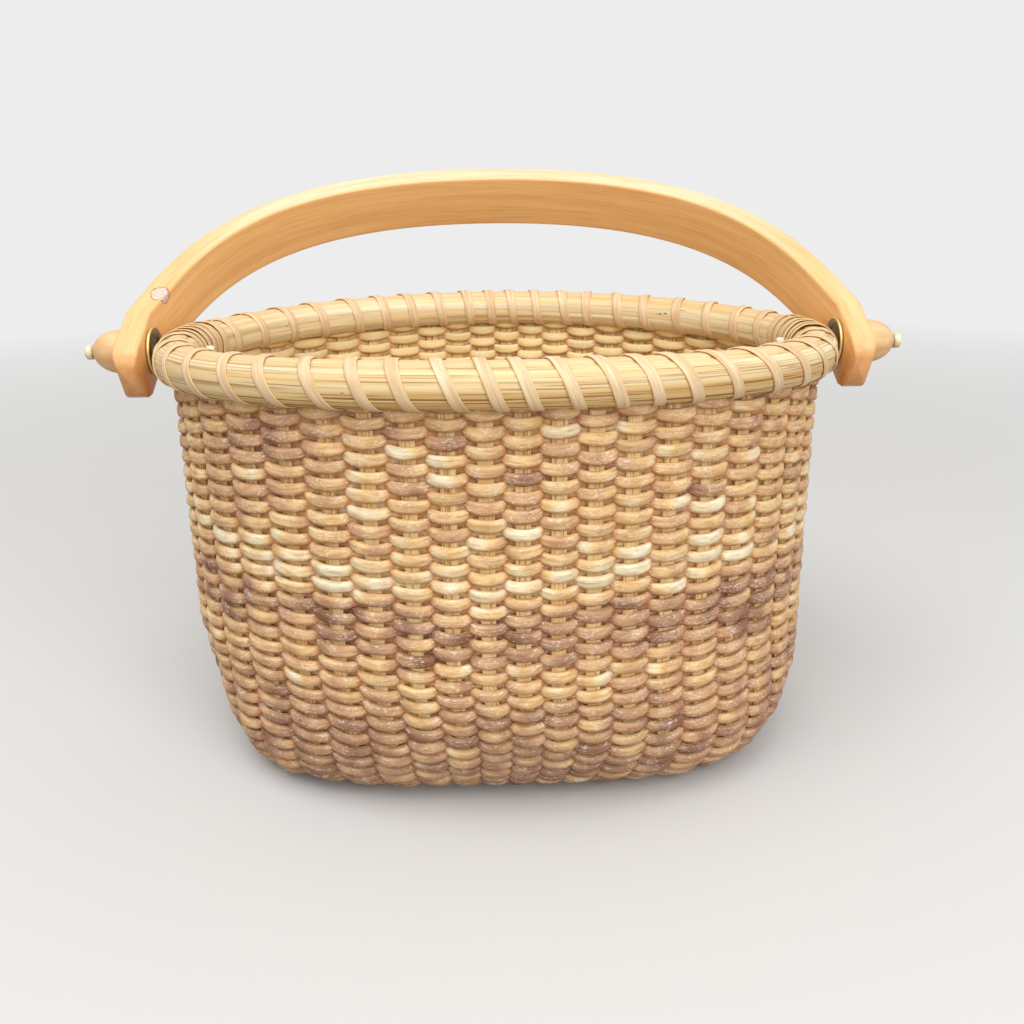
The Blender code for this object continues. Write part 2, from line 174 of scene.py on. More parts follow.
# Stage
FLOOR_RADIUS = 3
FLOOR_FADE_START = 0.35
FLOOR_FADE_END = 1.1
KEY_LIGHT_POINT = (-0.25, -0.45, 1.1)
KEY_LIGHT_SIZE = 0.8
FILL_LIGHT_POINT = (0.4, -1.0, 0.75)
FILL_LIGHT_SIZE = 1.0

# Lengths of the grain and marks in the finishes
FIBRE_LENGTH = 0.03
FIBRE_WIDTH = 0.00022
STREAK_LENGTH = 0.05
STREAK_WIDTH = 0.0009
BUMP_LENGTH = 0.011
MARK_SIZE = 0.0011
PEG_GRAIN_WIDTH = 0.002
KNOB_GRAIN_WIDTH = 0.003
BLOOM_SIZE = 0.0005
STRETCH_LENGTH = 0.05
BAND_LENGTH = 0.25
PATCH_LENGTH = 0.004
PATCH_WIDTH = 0.0011
KNOT_LENGTH = 0.0055
KNOT_WIDTH = 0.002
HANDLE_STREAK_LENGTH = 0.05
HANDLE_STREAK_WIDTH = 0.0025
GRAIN_RELIEF = 0.00012

# Tones of the weaver by height, and how much each stretch differs
BAND_DRIFT = 0.06
STRETCH_SPREAD = 1.3
EACH_SPREAD = 1.05
TONE_SHIFT = -0.895


def unit(vectors):
    return vectors / np.linalg.norm(vectors, axis=-1, keepdims=True)


def wander(positions, step, seed):
    """Smooth seeded noise from -1 to 1 along one direction, with a new value at each step."""
    values = np.random.RandomState(seed).uniform(-1, 1, 4096)
    scaled = np.asarray(positions) / step
    whole = np.floor(scaled).astype(int)
    part = scaled - whole
    ease = part * part * (3 - 2 * part)
    return values[whole % 4096] * (1 - ease) + values[(whole + 1) % 4096] * ease


def new_piece(name, points, faces, grain, hollow, material, body):
    """Piece with the grain's directions, and how far into a hollow it is, at each point."""
    mesh = bpy.data.meshes.new(name)
    mesh.from_pydata(points.tolist(), [], faces)
    attribute = mesh.attributes.new("grain", "FLOAT_VECTOR", "POINT")
    attribute.data.foreach_set("vector", grain.astype(np.float32).ravel())
    attribute = mesh.attributes.new("hollow", "FLOAT", "POINT")
    attribute.data.foreach_set("value", hollow.astype(np.float32))
    mesh.materials.append(material)
    mesh.polygons.foreach_set("use_smooth", [True] * len(mesh.polygons))
    piece = bpy.data.objects.new(name, mesh)
    bpy.context.scene.collection.objects.link(piece)
    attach(piece, body)
    return piece


def loft(name, rings, grain, closed, material, body="basket", hollow=0):
    """Piece through rings of points, round a closed path or capped at both ends."""
    stations, corners = rings.shape[:2]
    hollow = hollow if np.ndim(hollow) == 2 else np.reshape(hollow, (-1, 1))
    hollow = np.broadcast_to(hollow, (stations, corners)).ravel()
    index = np.arange(stations * corners).reshape(stations, corners)
    near = index if closed else index[:-1]
    far = np.roll(index, -1, axis=0) if closed else index[1:]
    quads = np.stack([near, np.roll(near, -1, axis=1), np.roll(far, -1, axis=1), far], axis=-1)
    quads = quads.reshape(-1, 4)
    points = rings.reshape(-1, 3)
    a, b, c, d = (points[quads[:, k]] for k in range(4))
    inside_out = np.sum(np.cross(c - a, d - b) * (a + c - 2 * points.mean(axis=0))) < 0
    if inside_out:
        quads = quads[:, ::-1]
    faces = quads.tolist()
    if not closed:
        faces += [index[0].tolist(), index[-1][::-1].tolist()]
        if not inside_out:
            faces[-2].reverse()
            faces[-1].reverse()
    return new_piece(name, points, faces, grain.reshape(-1, 3), hollow, material, body)


def sweep(name, centres, outs, ups, section, closed, material, body="basket", seed=0, hollow=0):
    """Loft of a section of (out, up) points, one for each station or the same for all."""
    section = np.broadcast_to(section, (len(centres),) + section.shape[-2:])
    rings = centres[:, None] + outs[:, None] * section[..., :1] + ups[:, None] * section[..., 1:]
    steps = np.linalg.norm(np.diff(centres, axis=0), axis=1)
    along = np.concatenate([[0], np.cumsum(steps)])
    grain = np.empty(rings.shape)
    grain[..., 0] = along[:, None]
    grain[..., 1] = section[..., 1]
    grain[..., 2] = section[..., 0] + seed
    return loft(name, rings, grain, closed, material, body, hollow)


def rounded_section(half_out, half_up, squareness, count):
    """Points round an oval of this squareness."""
    angles = 2 * math.pi * (np.arange(count) + 0.5) / count
    out = np.sign(np.cos(angles)) * np.abs(np.cos(angles)) ** (2 / squareness) * half_out
    up = np.sign(np.sin(angles)) * np.abs(np.sin(angles)) ** (2 / squareness) * half_up
    return np.stack([out, up], axis=-1)


def bent_turn(places):
    turn = 2 * math.pi * places / STAVE_COUNT
    return turn + STAVE_CROWD_SHARE * np.sin(2 * turn) - STAVE_SHIFT_SHARE * np.sin(turn)


def rim_top(across):
    return RIM_TOP - RIM_END_DROP * (across / STAVE_HALF_LENGTH) ** 2


def wall_column_points(places, left_shares):
    """Outer faces of the staves on the curve above the board, for each place and share left."""
    left = left_shares[None, :]
    out_share = np.clip(1 - left ** CURVE_POWER, 0, 1) ** (1 / CURVE_POWER)
    half_length = FOOT_HALF_LENGTH + (STAVE_HALF_LENGTH - FOOT_HALF_LENGTH) * out_share
    half_depth = FOOT_HALF_DEPTH + (STAVE_HALF_DEPTH - FOOT_HALF_DEPTH) * out_share
    squareness = RIM_SQUARENESS + (FOOT_SQUARENESS - RIM_SQUARENESS) * left ** 2
    bent = bent_turn(places)[:, None]
    direction = np.arctan2(half_depth * np.sin(bent), half_length * np.cos(bent))
    across = np.abs(np.cos(direction) / half_length) ** squareness
    deep = np.abs(np.sin(direction) / half_depth) ** squareness
    reach = (across + deep) ** (-1 / squareness)
    height = STAVE_FOOT_HEIGHT + CURVE_HEIGHT * (1 - left) + 0 * bent
    lean = WEAVE_LEAN * 4 * left * (1 - left)
    return np.stack([reach * np.cos(direction) + lean, reach * np.sin(direction), height], axis=-1)


def make_wall_grid():
    """Middle of the weave as a grid of points, outward and upward directions."""
    places = np.arange(STAVE_COUNT * WALL_COLUMN_STEPS) / WALL_COLUMN_STEPS
    angles = np.linspace(0, math.pi / 2, WALL_CURVE_STEPS)
    columns = wall_column_points(places, np.cos(angles))
    head = columns[:, -1:].copy()
    head[..., 2] = rim_top(head[..., 0]) - HOOP_HEIGHT + ROWS_INTO_RIM * ROW_HEIGHT
    columns = np.concatenate([columns, head], axis=1)
    grid = np.empty((len(places), WALL_LEVELS, 3))
    shares = np.linspace(0, 1, WALL_LEVELS)
    for k, column in enumerate(columns):
        lengths = np.concatenate([[0], np.cumsum(np.linalg.norm(np.diff(column, axis=0), axis=1))])
        for axis in range(3):
            grid[k, :, axis] = np.interp(shares * lengths[-1], lengths, column[:, axis])
    across = unit(np.roll(grid, -1, axis=0) - np.roll(grid, 1, axis=0))
    up = unit(np.gradient(grid, axis=1))
    outward = unit(np.cross(across, up))
    fade = np.clip((1 - shares) / WEAVE_INSET_FADE_SHARE, 0, 1)[None, :, None]
    grid = grid - outward * (STAVE_THICKNESS / 2 + WEAVE_INSET * fade)
    return grid, outward, up


def on_wall(wall, places, shares):
    """Points, outward and upward directions of the weave at places and shares of its height."""
    column = np.asarray(places) * WALL_COLUMN_STEPS
    level = np.clip(shares, 0, 1) * (WALL_LEVELS - 1)
    left = np.floor(column).astype(int)
    below = np.minimum(np.floor(level).astype(int), WALL_LEVELS - 2)
    over = (column - left)[..., None]
    rise = (level - below)[..., None]
    count = STAVE_COUNT * WALL_COLUMN_STEPS
    found = []
    for layer in wall:
        near = layer[left % count, below] * (1 - rise) + layer[left % count, below + 1] * rise
        far = layer[(left + 1) % count, below] * (1 - rise) + layer[(left + 1) % count, below + 1] * rise
        found.append(near * (1 - over) + far * over)
    return found[0], unit(found[1]), unit(found[2])


def make_weaver(wall, material):
    """The cane weaver, in one spiral that goes over and under every stave."""
    end = STAVE_COUNT * ROW_COUNT
    places = np.arange(0, end + 1 / WALL_COLUMN_STEPS, 1 / WALL_COLUMN_STEPS)
    shares = (places / STAVE_COUNT + 0.5) / (ROW_COUNT + 1)
    points, outward, up = on_wall(wall, places, shares)
    crossing = np.cos(math.pi * places)
    over = np.abs(crossing) ** 0.8
    swing = np.tanh(WEAVER_STEEPNESS * crossing) / math.tanh(WEAVER_STEEPNESS)
    swing = swing * (1 + 0.14 * wander(places, 1.3, 4))
    centres = points + outward * (swing * WEAVER_SWING)[:, None]
    drift = wander(places, 0.8, 5) * WEAVER_WANDER - WEAVER_SAG
    centres = centres + up * (over * drift)[:, None]
    along = unit(np.gradient(centres, axis=0))
    outs = unit(np.cross(along, up))
    ups = unit(np.cross(outs, along))
    outs = outs * np.sign(np.sum(outs * outward, axis=1))[:, None]
    twist = 0.3 * wander(places, 1.1, 6)[:, None]
    outs, ups = outs * np.cos(twist) + ups * np.sin(twist), ups * np.cos(twist) - outs * np.sin(twist)
    height = WEAVER_GAP_HEIGHT + (WEAVER_STAVE_HEIGHT - WEAVER_GAP_HEIGHT) * over
    height = height * (1 + 0.1 * over * wander(places, 1.2, 7))
    section = rounded_section(WEAVER_THICKNESS / 2, 0.5, 2.9, WEAVER_SECTION_POINTS)
    sections = np.repeat(section[None], len(places), axis=0)
    sections[..., 1] *= height[:, None]
    # hollow marks where the weaver crosses in the gaps between staves; the cane finish paints shade there.
    piece = sweep("weaver", centres, outs, ups, sections, False, material, hollow=1 - over)
    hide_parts("woven_wall")


def make_staves(wall, material):
    """The flat ribbed staves, from the board's groove up between the hoops."""
    ribs = np.linspace(-0.5, 0.5, 2 * STAVE_RIBS + 1)
    face = 0.5 - STAVE_RIB_DEPTH / STAVE_THICKNESS * (np.arange(2 * STAVE_RIBS + 1) % 2)
    face[0] = face[-1] = 0.3
    front = np.stack([face, ribs], axis=-1)
    back = np.array([(-0.3, 0.5), (-0.5, 0.42), (-0.5, -0.42), (-0.3, -0.5)])
    section = np.concatenate([front, back])
    shares = np.linspace(0, 1, STAVE_STATIONS)
    widths = STAVE_FOOT_WIDTH + (STAVE_TOP_WIDTH - STAVE_FOOT_WIDTH) * np.clip(shares * 2, 0, 1)
    for place in range(STAVE_COUNT):
        points, outward, up = on_wall(wall, np.full(STAVE_STATIONS, place), shares)
        tongue = points[:1] * (1 - STAVE_TONGUE / np.linalg.norm(points[0, :2]))
        tongue[0, 2] = STAVE_FOOT_HEIGHT + STAVE_THICKNESS / 2
        foot = points[:1].copy()
        foot[0, 2] = tongue[0, 2]
        head = points[-1:].copy()
        head[0, 2] = rim_top(head[0, 0]) - CAP_THICKNESS - CLEARANCE
        line = np.concatenate([tongue, foot, points[1:], head])
        outs = np.concatenate([outward[:1], outward, outward[-1:]])
        ups = unit(np.gradient(line, axis=0))
        sides = unit(np.cross(ups, outs))
        outs = unit(np.cross(sides, ups))
        wide = np.concatenate([widths[:1], widths, widths[-1:]])
        sections = np.repeat(section[None], len(line), axis=0)
        sections[..., 0] *= STAVE_THICKNESS
        sections[..., 1] *= wide[:, None]
        name = "stave_strip_{:02d}".format(place + 1)
        piece = sweep(name, line, outs, sides, sections, False, material, seed=place / 7)
        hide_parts("stave_{:02d}".format(place + 1))


def rim_line(places):
    """Seam between the hoops, half-way down them, with its outward directions."""
    bent = bent_turn(np.asarray(places, float))
    across = STAVE_HALF_LENGTH * np.cos(bent)
    deep = STAVE_HALF_DEPTH * np.sin(bent)
    outward = np.stack([across / STAVE_HALF_LENGTH ** 2, deep / STAVE_HALF_DEPTH ** 2, 0 * bent], axis=-1)
    outward = unit(outward)
    points = np.stack([across, deep, rim_top(across) - HOOP_HEIGHT / 2], axis=-1)
    return points - outward * (STAVE_THICKNESS / 2), outward


def make_hoop(name, node, thickness, sign, scarf_place, seed, material):
    """A half-round hoop whose blunt end laps over its own start in a long scarf."""
    steps = int((STAVE_COUNT + SCARF_PLACES) * 20)
    run = np.linspace(0, STAVE_COUNT + SCARF_PLACES, steps)
    places = scarf_place + run
    centres, outward = rim_line(places)
    under = SCARF_UNDER_SHARE * np.clip(run / SCARF_PLACES, 0.02, 1)
    begun = under + (1 - SCARF_UNDER_SHARE) * np.clip((run - SCARF_PLACES) / SCARF_STEP_PLACES, 0, 1)
    ended = SCARF_UNDER_SHARE * np.clip((run - STAVE_COUNT) / SCARF_PLACES, 0, 1)
    angles = np.linspace(-math.pi / 2, math.pi / 2, HOOP_SECTION_POINTS)
    power = 2 / HOOP_ROUNDNESS
    out = np.abs(np.cos(angles)) ** power
    up = np.sign(np.sin(angles)) * np.abs(np.sin(angles)) ** power
    sections = np.empty((steps, HOOP_SECTION_POINTS, 2))
    for k in range(HOOP_SECTION_POINTS):
        ridge = wander(places, 9, seed + k) + 0.5 * wander(places, 2.5, seed + 40 + k)
        reach = np.maximum(np.minimum(out[k], begun), ended) * thickness
        reach = reach + ridge * HOOP_GRAIN_DEPTH * out[k]
        sections[:, k, 0] = sign * (SEAM_HALF + reach)
        sections[:, k, 1] = up[k] * (HOOP_HEIGHT / 2 - HOOP_LIFT) - HOOP_LIFT
    ups = np.tile([0, 0, 1.0], (steps, 1))
    piece = sweep(name, centres, outward, ups, sections, False, material, seed=seed)
    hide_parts(node)


def make_cap(material):
    """The strip that lies over the seam between the hoops."""
    steps = STAVE_COUNT * 8
    places = np.arange(steps) / 8
    centres, outward = rim_line(places)
    section = rounded_section(CAP_HALF_WIDTH, CAP_THICKNESS / 2, 2.6, CAP_SECTION_POINTS)
    section[:, 1] += HOOP_HEIGHT / 2 - CAP_THICKNESS / 2
    section[:, 1] -= 0.25 * CAP_THICKNESS * (section[:, 0] / CAP_HALF_WIDTH) ** 2
    sections = np.repeat(section[None], steps, axis=0)
    sections[..., 0] *= (1 + 0.08 * wander(places, 2.05, 11))[:, None]
    sections[-1] = sections[0]
    piece = sweep("cap_strip", centres, outward, np.tile([0, 0, 1.0], (steps, 1)), sections, True, material)
    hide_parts("rim_cap")


def hoop_outline(thickness, sign):
    """Outer line of a plain hoop's section, as (outward, up) points."""
    angles = np.linspace(-math.pi / 2, math.pi / 2, HOOP_SECTION_POINTS)
    power = 2 / HOOP_ROUNDNESS
    out = SEAM_HALF + thickness * np.abs(np.cos(angles)) ** power
    up = np.sign(np.sin(angles)) * np.abs(np.sin(angles)) ** power
    return np.stack([sign * out, up * (HOOP_HEIGHT / 2 - HOOP_LIFT) - HOOP_LIFT], axis=-1)


def wrapping_line(distance):
    """Closed line of a strip pulled tight round both hoops and the cap, with its directions out."""
    inner = hoop_outline(INNER_HOOP_THICKNESS, -1)
    outer = hoop_outline(OUTER_HOOP_THICKNESS, 1)
    cap = np.array([(CAP_HALF_WIDTH * 0.9, HOOP_HEIGHT / 2), (-CAP_HALF_WIDTH * 0.9, HOOP_HEIGHT / 2)])
    corners = np.concatenate([inner, outer, cap])
    angles = -math.pi / 2 - 2 * math.pi * np.arange(HULL_DIRECTIONS + 1) / HULL_DIRECTIONS
    ways = np.stack([np.cos(angles), np.sin(angles)], axis=-1)
    hull = corners[np.argmax(ways @ corners.T, axis=1)] + ways * distance
    lengths = np.concatenate([[0], np.cumsum(np.linalg.norm(np.diff(hull, axis=0), axis=1))])
    shares = np.arange(LASHING_LOOP_STEPS) / LASHING_LOOP_STEPS * lengths[-1]
    line = np.stack([np.interp(shares, lengths, hull[:, k]) for k in range(2)], axis=-1)
    steps = range(-LASHING_EASE_STEPS, LASHING_EASE_STEPS + 1)
    line = np.mean([np.roll(line, step, axis=0) for step in steps], axis=0)
    run = np.roll(line, -1, axis=0) - np.roll(line, 1, axis=0)
    return line, unit(np.stack([-run[:, 1], run[:, 0]], axis=-1))


def slanted_advance(line):
    """How far round the rim each point of a loop is, as a share: most on the outer face."""
    weights = 1 + LASHING_SLANT * np.clip(line[:, 0] / OUTER_HOOP_THICKNESS, 0, 1)
    return (np.cumsum(weights) - weights[0]) / weights.sum()


def wrap_rim(name, places, distance, width, tilt, seed, material):
    """Flat cane wound round both hoops, one turn for each step between these places."""
    line, ways = wrapping_line(distance)
    turns = len(places) // LASHING_LOOP_STEPS
    line = np.tile(line, (turns, 1))
    ways = np.tile(ways, (turns, 1))
    base, outward = rim_line(places)
    above = np.array([0, 0, 1.0])
    centres = base + outward * line[:, :1] + above * line[:, 1:]
    outs = outward * ways[:, :1] + above * ways[:, 1:]
    along = unit(np.gradient(centres, axis=0))
    ups = unit(np.cross(along, outs))
    outs = unit(np.cross(ups, along))
    outs, ups = outs * math.cos(tilt) + ups * math.sin(tilt), ups * math.cos(tilt) - outs * math.sin(tilt)
    section = rounded_section(LASHING_THICKNESS / 2, width / 2, 3.5, 12)
    sections = np.repeat(section[None], len(places), axis=0)
    sections[..., 1] *= (1 + 0.07 * wander(places, 0.35, 31 + seed))[:, None]
    piece = sweep(name, centres, outs, ups, sections, False, material, seed=seed)
    return piece


def make_lashing(number, first_gap, loops, material):
    """One length of flat cane wound round both hoops, once in each gap between staves."""
    distance = LASHING_THICKNESS * 0.7
    advance = slanted_advance(wrapping_line(distance)[0])
    places = (first_gap - 0.5 + np.arange(loops)[:, None] + advance[None, :]).ravel()
    turns = np.arange(len(places)) / LASHING_LOOP_STEPS
    places = places + 0.11 * wander(turns, 0.9, 21 + number)
    name = "lashing_strip_{}".format(number)
    piece = wrap_rim(name, places, distance, LASHING_WIDTH, 0, number, material)
    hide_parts("rim_lashing_{}".format(number))


def make_binding(side, seed, material):
    """Extra close turns of cane that cover the rim beside a pivot."""
    start, end = BINDING_PLACES[side]
    turns = round((end - start) / BINDING_TURN_PLACES)
    places = np.linspace(start, end, turns * LASHING_LOOP_STEPS)
    places = places + 0.05 * wander(places, 0.21, seed)
    wrap_rim("binding_" + side, places, LASHING_THICKNESS * 1.2, BINDING_WIDTH, BINDING_TILTS[side], seed, material)


def bezier(start, start_pull, end_pull, end, shares):
    left = (1 - shares)[:, None]
    done = shares[:, None]
    blend = start * left ** 3 + start_pull * (3 * left ** 2 * done)
    return blend + end_pull * (3 * left * done ** 2) + end * done ** 3


def handle_half():
    """Middle line of the right half of the handle in its own plane, with sizes of its section."""
    ear_shares = np.linspace(0, 1, EAR_STEPS, endpoint=False)
    ear_heights = -EAR_DROP + (EAR_DROP + EAR_RISE) * ear_shares
    ear = np.stack([np.full(EAR_STEPS, EAR_MIDDLE), 0 * ear_heights, ear_heights], axis=-1)
    start = np.array([EAR_MIDDLE, 0, EAR_RISE])
    leg = start + np.array([-math.sin(LEG_LEAN), 0, math.cos(LEG_LEAN)]) * LEG_PULL
    crown = np.array([0, 0, HANDLE_RISE])
    shoulder = crown + np.array([CROWN_PULL, 0, 0])
    arc_shares = np.linspace(0, 1, HANDLE_ARC_STEPS)
    line = np.concatenate([ear, bezier(start, leg, shoulder, crown, arc_shares)])
    shares = np.concatenate([np.zeros(EAR_STEPS), arc_shares])
    thickness = EAR_THICKNESS + (HANDLE_CROWN_THICKNESS - EAR_THICKNESS) * shares
    width = EAR_WIDTH + (HANDLE_CROWN_WIDTH - EAR_WIDTH) * shares
    foot = np.clip((line[:, 2] + EAR_DROP) / EAR_CHAMFER, 0, 1)
    width = width - 2 * EAR_CHAMFER * (1 - foot) ** 1.5
    thickness = thickness * (1 - 0.3 * (1 - foot) ** 2)
    end = np.clip(1 - (line[:, 2] + EAR_DROP) / HANDLE_STAIN_LENGTH, 0, 1)
    return line, thickness, width, end


def boxed_sections(thickness, width, edge_round):
    """Box sections with rounded corners, one for each thickness and width."""
    angles = np.linspace(0, math.pi / 2, HANDLE_CORNER_POINTS)
    corner = (np.stack([np.cos(angles), np.sin(angles)], axis=-1) - 1) * edge_round
    points = []
    for out, up, order in ((1, 1, 1), (-1, 1, -1), (-1, -1, 1), (1, -1, -1)):
        half = np.stack([thickness / 2, width / 2], axis=-1)[:, None]
        points.append((half + corner[None, ::order]) * np.array([out, up]))
    return np.concatenate(points, axis=1)


def make_handle(material):
    """The bent handle with its two ears, leaning back on the pivots."""
    line, thickness, width, end = handle_half()
    mirrored = line[-2::-1] * np.array([-1, 1, 1])
    line = np.concatenate([line, mirrored])
    thickness = np.concatenate([thickness, thickness[-2::-1]])
    width = np.concatenate([width, width[-2::-1]])
    end = np.concatenate([end, end[-2::-1]])
    along = unit(np.gradient(line, axis=0))
    outs = np.stack([along[:, 2], 0 * along[:, 1], -along[:, 0]], axis=-1)
    depth = np.tile([0, 1.0, 0], (len(line), 1))
    sections = boxed_sections(thickness, width, HANDLE_EDGE_ROUND)
    low = sections[..., 1] / (EAR_WIDTH / 2) - HANDLE_STAIN_START_SHARE
    stain = end[:, None] * (0.3 + 0.7 * np.clip(low / (1 - HANDLE_STAIN_START_SHARE), 0, 1))
    turn = np.array(Matrix.Rotation(-HANDLE_TILT, 3, "X"))
    line = line @ turn.T + np.array([0, 0, PIVOT_HEIGHT])
    outs = outs @ turn.T
    piece = sweep("bail", line, outs, depth @ turn.T, sections, False, material, "handle", hollow=stain)
    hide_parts("handle")


def turned(name, profile, sign, reach, material):
    """Piece turned about the pivot axis from a profile of (radius, height) points."""
    profile = np.array(profile)
    angles = 2 * math.pi * np.arange(TURNED_STEPS) / TURNED_STEPS
    ring = np.stack([0 * angles, np.cos(angles), np.sin(angles)], axis=-1)
    rings = ring[:, None] * profile[None, :, :1]
    rings[..., 0] = sign * (reach + profile[None, :, 1])
    rings[..., 2] += PIVOT_HEIGHT
    grain = rings - np.array([sign * reach, 0, PIVOT_HEIGHT])
    return loft(name, rings, grain, True, material)


def dome(radius, height, edge_share, top_radius):
    """Profile of a dome from its top to its rim."""
    angles = np.linspace(0, math.pi / 2, DOME_STEPS)
    radii = np.maximum(np.sin(angles) * radius, top_radius)
    heights = height * (edge_share + (1 - edge_share) * np.cos(angles))
    return list(zip(radii.tolist(), heights.tolist()))


def make_pivot(side, sign, materials):
    """Peg, washer and knob of one ear."""
    knob_foot = EAR_OUTER + CLEARANCE
    knob = dome(KNOB_RADIUS, KNOB_HEIGHT, 0.15, BORE_RADIUS)
    knob += [(KNOB_RADIUS, KNOB_HEIGHT * 0.05), (KNOB_RADIUS * 0.98, 0), (BORE_RADIUS, 0)]
    inner_face = RIM_HALF_LENGTH - OUTER_HOOP_THICKNESS - STAVE_THICKNESS - INNER_HOOP_THICKNESS
    inner_end = inner_face - 2 * CLEARANCE - PIN_INNER_REACH
    top = knob_foot + KNOB_HEIGHT
    tiny = PIN_RADIUS * 0.05
    head_top = CLEARANCE + PIN_HEAD_HEIGHT
    head = [(tiny, head_top), (PIN_HEAD_RADIUS * 0.8, head_top)]
    head += [(PIN_HEAD_RADIUS, head_top - PIN_HEAD_HEIGHT / 5)]
    end = inner_end - top
    pin = head + [(PIN_HEAD_RADIUS, CLEARANCE), (PIN_RADIUS, CLEARANCE), (PIN_RADIUS, end + PIN_RADIUS * 0.3)]
    pin += [(PIN_RADIUS * 0.8, end), (tiny, end)]
    rim = WASHER_RADIUS - WASHER_EDGE
    washer = [(BORE_RADIUS, WASHER_THICKNESS), (rim, WASHER_THICKNESS)]
    washer += [(WASHER_RADIUS, WASHER_THICKNESS - WASHER_EDGE), (WASHER_RADIUS, WASHER_EDGE)]
    washer += [(rim, 0), (BORE_RADIUS, 0)]
    washer_reach = EAR_INNER - CLEARANCE - WASHER_THICKNESS
    pieces = [
        ("peg_", "pivot_pin_", pin, top, "pin_peg"),
        ("ring_", "washer_", washer, washer_reach, "washer_brass"),
        ("dome_", "knob_", knob, knob_foot, "knob_wood"),
    ]
    for stem, node, profile, reach, slot in pieces:
        piece = turned(stem + side, profile, sign, reach, materials[slot])
        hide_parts(node + side)


def add(tree, kind, inputs, **settings):
    """New shader node; an input that is a socket is linked, and any other is set."""
    node = tree.nodes.new(kind)
    for key, value in settings.items():
        setattr(node, key, value)
    for key, value in inputs.items():
        if isinstance(value, bpy.types.NodeSocket):
            tree.links.new(value, node.inputs[key])
        else:
            node.inputs[key].default_value = value
    return node


def shade(red, green, blue):
    """Colour from its display values."""
    values = [v / 12.92 if v <= 0.04045 else ((v + 0.055) / 1.055) ** 2.4 for v in (red, green, blue)]
    return (*values, 1)


BAND_TONES = [
    (0.24, 0.0), (0.30, 0.05), (0.345, 0.14), (0.38, 0.22), (0.42, 0.18), (0.45, 0.0), (0.54, 0.0),
    (0.57, 0.34), (0.59, 0.38), (0.61, 0.38), (0.635, 0.33), (0.685, 0.27), (0.74, 0.22), (1.0, 0.18),
]
WEAVER_COLOURS = [
    (0.0, shade(0.58, 0.40, 0.29)),
    (0.14, shade(0.68, 0.52, 0.42)),
    (0.36, shade(0.86, 0.695, 0.53)),
    (0.58, shade(0.95, 0.81, 0.57)),
    (0.78, shade(1.0, 0.96, 0.83)),
]
BARK_TONES = [(0.36, shade(0.80, 0.66, 0.57)), (0.60, shade(0.93, 0.85, 0.79))]
HOOP_COLOURS = [(0.3, shade(0.89, 0.77, 0.55)), (0.5, shade(0.94, 0.87, 0.70)), (0.7, shade(0.96, 0.92, 0.81))]
FLOOR_COLOUR = shade(0.85, 0.85, 0.85)
BACKGROUND = shade(0.93, 0.93, 0.93)


def grain_space(tree, length, width):
    """Grain directions, scaled for spots of this length and width."""
    grain = add(tree, "ShaderNodeAttribute", {}, attribute_name="grain").outputs["Vector"]
    scale = (1 / length, 1 / width, 1 / width)
    return add(tree, "ShaderNodeVectorMath", {0: grain, 1: scale}, operation="MULTIPLY").outputs["Vector"]


def noise(tree, vector, detail=2):
    inputs = {"Vector": vector, "Scale": 1, "Detail": detail}
    return add(tree, "ShaderNodeTexNoise", inputs).outputs["Fac"]


def ramp(tree, factor, stops):
    """Colours or greys at positions of a factor."""
    node = add(tree, "ShaderNodeValToRGB", {"Fac": factor})
    elements = node.color_ramp.elements
    while len(elements) < len(stops):
        elements.new(1)
    for element, (position, colour) in zip(elements, stops):
        element.position = position
        element.color = colour if isinstance(colour, tuple) else (colour, colour, colour, 1)
    return node.outputs["Color"]


def mix(tree, factor, first, second, way="MIX"):
    inputs = {0: factor, 6: first, 7: second}
    return add(tree, "ShaderNodeMix", inputs, data_type="RGBA", blend_type=way).outputs[2]


def new_material(name):
    material = bpy.data.materials.new(name)
    material.use_nodes = True
    tree = material.node_tree
    return material, tree, tree.nodes["Principled BSDF"]


def finish_shader(tree, shader, colour, roughness, relief, strength, distance=GRAIN_RELIEF):
    tree.links.new(colour, shader.inputs["Base Color"])
    tree.links.new(roughness, shader.inputs["Roughness"])
    bump = add(tree, "ShaderNodeBump", {"Height": relief, "Strength": strength, "Distance": distance})
    tree.links.new(bump.outputs["Normal"], shader.inputs["Normal"])


def grain_part(tree, axis, scale):
    """One of the grain's directions, times a scale."""
    grain = add(tree, "ShaderNodeAttribute", {}, attribute_name="grain").outputs["Vector"]
    part = add(tree, "ShaderNodeSeparateXYZ", {"Vector": grain}).outputs[axis]
    return add(tree, "ShaderNodeMath", {0: part, 1: scale}, operation="MULTIPLY").outputs[0]


def hollow_factor(tree):
    return add(tree, "ShaderNodeAttribute", {}, attribute_name="hollow").outputs["Fac"]


def math_node(tree, way, first, second):
    return add(tree, "ShaderNodeMath", {0: first, 1: second}, operation=way).outputs[0]


def tinted(tree, colour, factor, tint):
    """Colour multiplied by a tint where the factor is 1."""
    return mix(tree, factor, colour, tint, "MULTIPLY")


